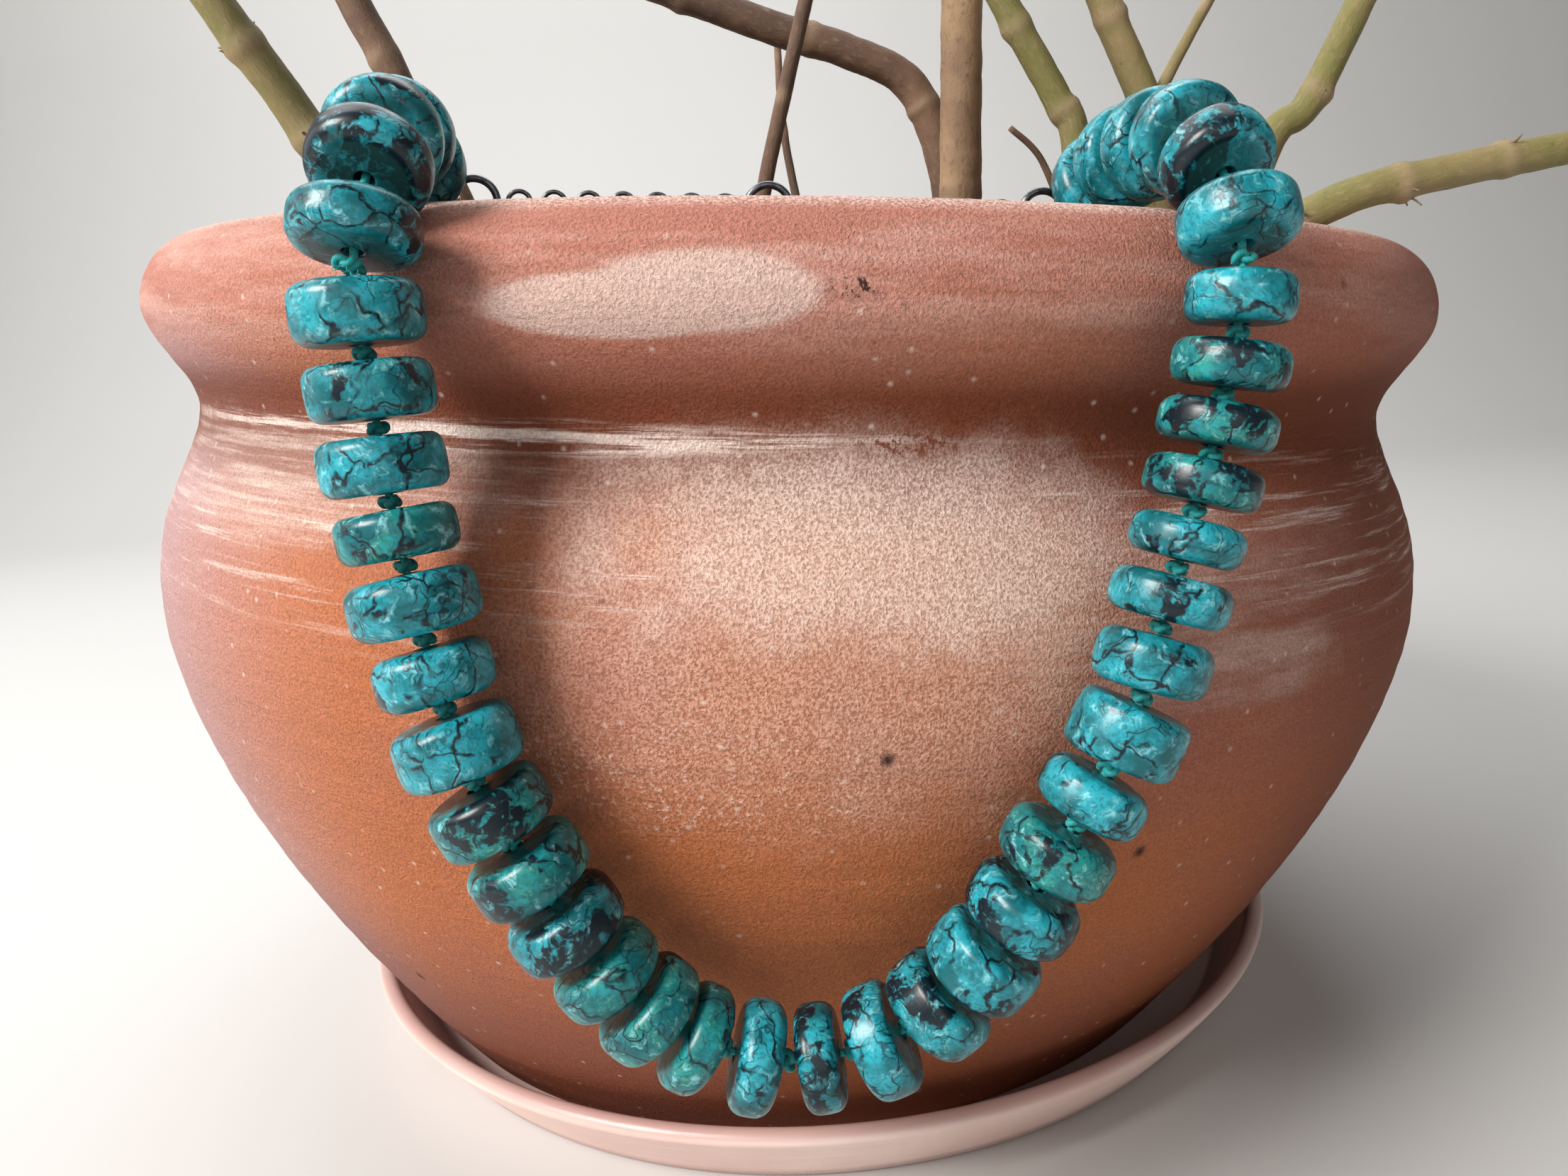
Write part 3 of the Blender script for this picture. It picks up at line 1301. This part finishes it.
STEMS = (
    Stem("stem_1", ((-60, -76, -36), (-66, -82, -20), (-84, -91, 15), (-95, -99, 34), (-108, -105, 58),
                    (-118, -108, 80)), (7.6, 6), Bark.GREEN, 15, 24, 1.3, 0, 1.0),
    Stem("stem_2", ((-51, -52, -36), (-56, -53, -20), (-79, -56, 30), (-87, -57, 46), (-102, -60, 78),
                    (-110, -62, 98)), (7.4, 6), Bark.BROWN, 34, 40, 0.5),
    Stem("stem_3", ((44, 14, -36), (43.5, 14, -20), (42, 14, 17), (32, 14, 43), (15, 13, 52), (0, 12, 56),
                    (-28, 8, 64), (-60, 2, 73), (-90, -4, 85)), (10, 7), Bark.BROWN, 30, 44, 0.7),
    Stem("stem_4", ((-12, -34, -36), (-10, -34, -20), (-6, -35, 11), (3, -36, 51), (9, -37, 76),
                    (12, -38, 94)), (3.8, 3), Bark.BROWN, 30, 36, 0.4),
    Stem("stem_5", ((41, -20, -36), (41, -20, -18), (40, -20, 13), (38.5, -21, 55), (38, -21, 85),
                    (37, -22, 112)), (10.5, 9), Bark.TAN, 60, 50, 0.35),
    Stem("stem_6", ((64, -46, -36), (63, -47, -20), (59.5, -50, 19), (55, -50, 29), (43, -51, 47),
                    (30, -52, 68), (24, -53, 86)), (6.8, 5.4), Bark.GREEN, 17, 26, 1.1, 0, 0.4),
    Stem("stem_7", ((89, -33, -36), (87, -33, -20), (81, -34, 15), (77, -35, 32), (67, -36, 51),
                    (56, -37, 76), (50, -38, 98)), (8, 6.4), Bark.GREEN, 24, 34, 0.8),
    Stem("stem_8", ((86, -50, -36), (88, -51, -20), (97, -55, 19), (104, -56, 27), (112, -57, 46),
                    (121, -59, 70), (128, -60, 90)), (6.6, 5.4), Bark.GREEN, 19, 28, 1.2, 0, 0.5),
    Stem("stem_9", ((66, -74, -36), (72, -76, -20), (86, -79, -4), (101, -82, 6), (120, -82, 11),
                    (144, -81, 16), (166, -79, 22), (182, -78, 27)), (7.2, 5.6), Bark.GREEN,
         17, 30, 1.3, 0, 1.0),
)
SHOOT = Stem("shoot", ((78, -35, 28), (82, -35, 37), (89, -35, 51), (97, -36, 66)), (2.8, 2), Bark.BROWN,
             14, 10, 0.6)
TWIGS = (
    Stem("twig_a", ((57, -58, -24), (55, -64, 0), (49, -68, 14), (42, -70, 20)), (1.8, 1.2), Bark.BROWN,
         12, 12, 0.5),
    Stem("twig_b", ((10, 40, -24), (4, 44, 10), (-2, 50, 40), (-4, 58, 66)), (3, 2), Bark.BROWN,
         20, 20, 0.5),
)


class Plant:
    """All the bare stems."""

    @staticmethod
    def piece(name: str, stems: Sequence[Stem], node: str, finishes: Finishes) -> bpy.types.Object:
        """Make one piece from one or more stems, in place of a CAD node."""
        bm = bmesh.new()
        marks = []
        for stem in stems:
            marks += stem.add(bm)
        made = finish_mesh(name, bm)
        set_attribute(made, "bark", "FLOAT_VECTOR", [v for m in marks for v in m[:3]])
        set_attribute(made, "mark", "FLOAT", [m[3] for m in marks])
        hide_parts(node)
        return dress(made, finishes.bark[stems[0].bark], "pot")

    def build(self, finishes: Finishes) -> None:
        """Make every stem."""
        for stem in STEMS:
            members = [stem, SHOOT] if stem.name == "stem_7" else [stem]
            self.piece(f"bare_{stem.name}", members, stem.name, finishes)
        self.piece("bare_twigs", TWIGS, "twigs", finishes)


# ---------------------------------------------------------------------------
# Necklace
# ---------------------------------------------------------------------------


@dataclass(frozen=True)
class BeadPlace:
    """One bead's place and size, read from its joint and its CAD solid."""

    name: str
    centre: Vector
    axis: Vector
    radius: float
    width: float

    @classmethod
    def read(cls, name: str) -> "BeadPlace":
        """Measure a bead in the frame."""
        joint = next(j for j in frame["joints"] if j["child"] == name)
        centre = Vector(joint["pos_m"])
        axis = Vector(joint["axis"]).normalized()
        reach = 0.0
        half = 0.0
        for vert in frame["nodes"][name].data.vertices:
            offset = vert.co - centre
            along = offset.dot(axis)
            half = max(half, abs(along))
            reach = max(reach, (offset - axis * along).length)
        return cls(name, centre, axis, reach, 2 * half)


class Strand:
    """The necklace's cord, knots and beads."""

    route = (
        (-31.1, -3.8, -27.2), (-29.9, -6.6, -23.5), (-28.3, -9.4, -18.2), (-26.7, -10, -12.6),
        (-24.7, -8.2, -5.2), (-22.9, -3.2, 2.7), (-22.2, 5, 8.2), (-21.9, 14.5, 10), (-21.4, 26, 9.7),
        (-20.5, 42, 9.6), (-18.9, 60, 9.6), (-16.6, 79, 10), (-13.4, 96, 11.2), (-10, 111.5, 13),
        (-5.4, 123.4, 15), (0.4, 128, 15.8), (6.2, 123.6, 15.2), (9.9, 114.4, 13.6), (12.2, 104.5, 12.4),
        (14.9, 89, 10.6), (18, 72, 10), (20, 54, 9.6), (21.6, 38, 9.6), (22.7, 25, 9.6), (23.1, 14, 9.8),
        (23.3, 4.6, 8), (23.7, -3.4, 2.6), (24.5, -8.6, -5.6), (25.8, -10, -15), (27, -9.8, -23.5),
        (28.2, -9, -31), (29.4, -7.1, -36.8), (30.6, -4, -41.6), (31.6, -1, -45.8), (32.6, 2.2, -50),
    )
    cord_d = 1.2 * MM
    bore_r = 1.4 * MM
    end_gap = 3 * MM
    end_knot = 1.35 * MM
    loop_r = 2.2 * MM
    plain = {12: 0.95, 34: 0.9, 27: 0.7}
    dark = {4: 1.0, 13: 0.8, 15: 1.0, 31: 1.0, 24: 0.9, 36: 0.8, 20: 0.6, 22: 0.7}
    green = {9, 13, 14, 16, 18, 25, 31, 32, 17, 33}

    def __init__(self) -> None:
        """Read the beads and lay the cord's line through them."""
        names = sorted(name for name in frame["nodes"] if name.startswith("bead_"))
        self.beads = [BeadPlace.read(name) for name in names]
        self.path = Line(catmull([POT.on_strand(*p) for p in self.route], 16))
        last = self.beads[-1]
        self.cord_end = self.path.nearest(last.centre) + last.width / 2 + self.end_gap
        self.cord_line = Line([self.path.at(self.cord_end * k / 700) for k in range(701)])

    # The cord

    def cord(self, finishes: Finishes) -> bpy.types.Object:
        """Make the twisted cord that runs through every bead."""
        bm = bmesh.new()

        def radius(s: float, angle: float) -> float:
            """Three plies, twisted once every 2.4 mm."""
            ply = abs(math.cos(1.5 * (angle - math.tau * s / 0.0024)))
            return self.cord_d / 2 * (0.84 + 0.16 * ply)

        sweep(bm, self.cord_line, 1400, 15, radius)
        piece = finish_mesh("silk_cord", bm)
        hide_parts("necklace_cord")
        return dress(piece, finishes.silk, "necklace")

    # The knots

    @staticmethod
    def knot_line(centre: Vector, way: Vector, size: float, turn: float) -> Line:
        """A small closed trefoil about a place, with its axis along the cord."""
        side = way.orthogonal().normalized()
        side.rotate(Matrix.Rotation(turn, 3, way))
        up = way.cross(side)
        points = []
        for k in range(49):
            t = math.tau * k / 48
            a = (math.sin(t) + 2 * math.sin(2 * t)) / 3
            b = (math.cos(t) - 2 * math.cos(2 * t)) / 3
            c = -math.sin(3 * t) * 0.34
            points.append(centre + (side * a + up * b + way * c) * size)
        return Line(points)

    def gaps(self) -> list[tuple[Vector, Vector, float]]:
        """Each place between beads, as (middle, direction, room)."""
        places = []
        first = self.beads[0]
        places.append((first.centre - first.axis * (first.width / 2 + self.end_knot), first.axis, 2.1 * MM))
        for a, b in zip(self.beads, self.beads[1:]):
            start = a.centre + a.axis * a.width / 2
            end = b.centre - b.axis * b.width / 2
            middle = self.path.at(self.path.nearest((start + end) / 2))
            places.append((middle, (a.axis + b.axis).normalized(), (end - start).length))
        last = self.beads[-1]
        places.append((last.centre + last.axis * (last.width / 2 + self.end_knot), last.axis, 2.1 * MM))
        return places

    def knots(self, finishes: Finishes) -> bpy.types.Object:
        """Make a knot in every gap, the double knot by the sixth bead, and the two end loops."""
        bm = bmesh.new()
        chance = random.Random(7)

        def radius(s: float, angle: float) -> float:
            """One strand of the knot."""
            return 0.50 * MM * (0.9 + 0.1 * abs(math.cos(2 * (angle - math.tau * s / 0.0016))))

        for i, (middle, way, room) in enumerate(self.gaps()):
            size = min(1.45, 0.85 + room / MM * 0.22) * MM
            line = self.knot_line(middle, way, size, chance.random() * math.tau)
            sweep(bm, line, 73, 10, radius, closed=True)
            if i == 5:
                shifted = middle + Vector((-0.0007, -0.0009, 0.0006))
                again = self.knot_line(shifted, way, size * 0.95, 1.9)
                sweep(bm, again, 73, 10, radius, closed=True)
        for end in self.end_loops():
            sweep(bm, end, 90, 12, lambda s, angle: self.cord_d / 2, closed=True)
        piece = finish_mesh("silk_knots", bm)
        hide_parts("knots")
        return dress(piece, finishes.silk, "necklace")

    def end_loops(self) -> list[Line]:
        """The loops that hold the chain, one at each end of the cord."""
        ends = (self.path.at(0), self.path.at(self.cord_end))
        reach = 0.003
        ways = (
            -(self.path.at(reach) - self.path.at(0)).normalized(),
            (self.path.at(self.cord_end + reach) - self.path.at(self.cord_end - reach)).normalized(),
        )
        chain = (ends[1] - ends[0]).normalized()
        lines = []
        for end, way in zip(ends, ways):
            across = (way - chain * way.dot(chain)).normalized()
            centre = end + across * self.loop_r
            points = []
            for k in range(61):
                t = math.tau * k / 60
                points.append(centre + (chain * math.cos(t) + across * math.sin(t)) * self.loop_r)
            lines.append(Line(points))
        return lines

    def wisps(self, finishes: Finishes) -> bpy.types.Object:
        """Make the frayed thread ends at the double knot by the sixth bead."""
        middle = self.gaps()[5][0]
        bm = bmesh.new()
        chance = random.Random(3)
        for k in range(7):
            out = Vector((-0.6 + 0.25 * k, -1.0, 0.5 - 0.2 * k)).normalized()
            points = [middle + out * 0.0006]
            for step in range(1, 5):
                stray = Vector([chance.uniform(-1, 1) for _ in range(3)]) * 0.00035
                sag = Vector((0, 0, 0.0001 * step**2))
                points.append(middle + out * (0.0006 + 0.0008 * step) + stray - sag)
            line = Line(catmull(points, 6))
            sweep(bm, line, 16, 6, lambda s, angle: 0.00007)
        piece = finish_mesh("silk_wisps", bm)
        return dress(piece, finishes.silk, "necklace")

    # The beads

    def bead_profile(self, place: BeadPlace, edge: float) -> list[tuple[float, float]]:
        """A wheel's closed outline about its own axis, from the bore round the rim and back."""
        reach = place.radius
        half = place.width / 2
        small = 0.35 * MM
        outline = []
        for side in (-1, 1):
            rim = []
            for k in range(9):
                angle = math.pi / 2 * k / 8
                radius = self.bore_r + small * (1 - math.cos(angle))
                rim.append((radius, half - small * (1 - math.sin(angle))))
            for k in range(1, 8):
                radius = self.bore_r + small + (reach - edge - self.bore_r - small) * k / 8
                rim.append((radius, half))
            for k in range(13):
                angle = math.pi / 2 * k / 12
                rim.append((reach - edge + edge * math.sin(angle), half - edge + edge * math.cos(angle)))
            rim = [(r, side * z) for r, z in rim]
            outline = outline + (rim if side < 0 else rim[::-1])
        flat = half - edge
        middle = len(outline) // 2
        wall = [(reach, -flat + 2 * flat * k / 8) for k in range(1, 8)]
        return outline[:middle] + wall + outline[middle:]

    def bead(self, index: int, place: BeadPlace, finishes: Finishes) -> bpy.types.Object:
        """Make one bead: a hand-cut wheel, a little uneven and softly faceted."""
        chance = random.Random(100 + index)
        edge = chance.uniform(1.5, 2.3) * MM
        profile = self.bead_profile(place, edge)
        bm = lathe(profile, 96, closed=True)
        seed = chance.uniform(0, 50)
        tilt = chance.uniform(0.0, 0.035)
        toward = chance.uniform(0, math.tau)
        stones = []
        tones = []
        offset = Vector((chance.uniform(-1, 1), chance.uniform(-1, 1), chance.uniform(-1, 1)))
        green = 0.62 if index in self.green else chance.uniform(0.0, 0.38)
        patch = self.dark.get(index, chance.uniform(-0.2, 0.45)) - 1.2 * self.plain.get(index, 0.0)
        half = place.width / 2
        for vert in bm.verts:
            x, y, z = vert.co
            radius = math.hypot(x, y)
            stones += list(vert.co + offset)
            face = 1.0 if radius < place.radius - edge and abs(z) > half - 0.2 * MM else 0.0
            tones += [green, patch, face]
            if radius < self.bore_r + 0.5 * MM:
                continue
            slow = bump_noise(vert.co, 110, seed)
            quick = bump_noise(vert.co, 420, seed + 5)
            crown = 0.32 * (z / half) ** 2
            push = -(0.12 + crown + 0.16 * slow + 0.05 * quick) * MM
            share = radius / place.radius
            vert.co.x += x / radius * push * share
            vert.co.y += y / radius * push * share
            lean = tilt * (x * math.cos(toward) + y * math.sin(toward))
            inward = 0.10 * MM + abs(lean) * 0.5 + 0.06 * MM * slow
            vert.co.z -= math.copysign(min(inward, abs(z)), z) * (1.0 if abs(z) > 0.3 * half else 0.0)
        turn = place.axis.to_track_quat("Z", "Y").to_matrix().to_4x4()
        spin = Matrix.Rotation(chance.random() * math.tau, 4, "Z")
        bm.transform(Matrix.Translation(place.centre) @ turn @ spin)
        piece = finish_mesh(f"stone_{place.name}", bm)
        set_attribute(piece, "stone", "FLOAT_VECTOR", stones)
        set_attribute(piece, "tone", "FLOAT_VECTOR", tones)
        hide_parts(place.name)
        return dress(piece, finishes.turquoise, place.name)

    def build(self, finishes: Finishes) -> None:
        cord = self.cord(finishes)
        knots = self.knots(finishes)
        wisps = self.wisps(finishes)
        self.cord_line.at(0)
        for index, place in enumerate(self.beads, start=1):
            self.bead(index, place, finishes)


class CarriedOver:
    """The CAD pieces whose shape is already right and that only get a better finish."""

    @staticmethod
    def build(finishes: Finishes) -> None:
        """Dress the chain, its rings and the clasp."""
        wanted = {
            "jump_rings": finishes.copper,
            "chain": finishes.gunmetal,
            "clasp_body": finishes.gunmetal,
            "clasp_trigger": finishes.gunmetal,
            "clasp_pin": finishes.gunmetal,
        }
        for node, material in wanted.items():
            piece = frame["nodes"][node]
            for slot in piece.material_slots:
                slot.material = material
            log.info("piece %s: carried over from the CAD model", node)


def main() -> None:
    """Build the whole scene in order."""
    finishes = Finishes()
    Camera().build()
    strand = Strand()
    strand.build(finishes)
    Studio().build(finishes)
    Saucer().build(finishes)
    ClayPot().build(finishes)
    SoilBed().build(finishes)
    Plant().build(finishes)
    CarriedOver.build(finishes)


if __name__ == "__main__":
    logging.basicConfig(level=logging.INFO, format="%(message)s")
    main()
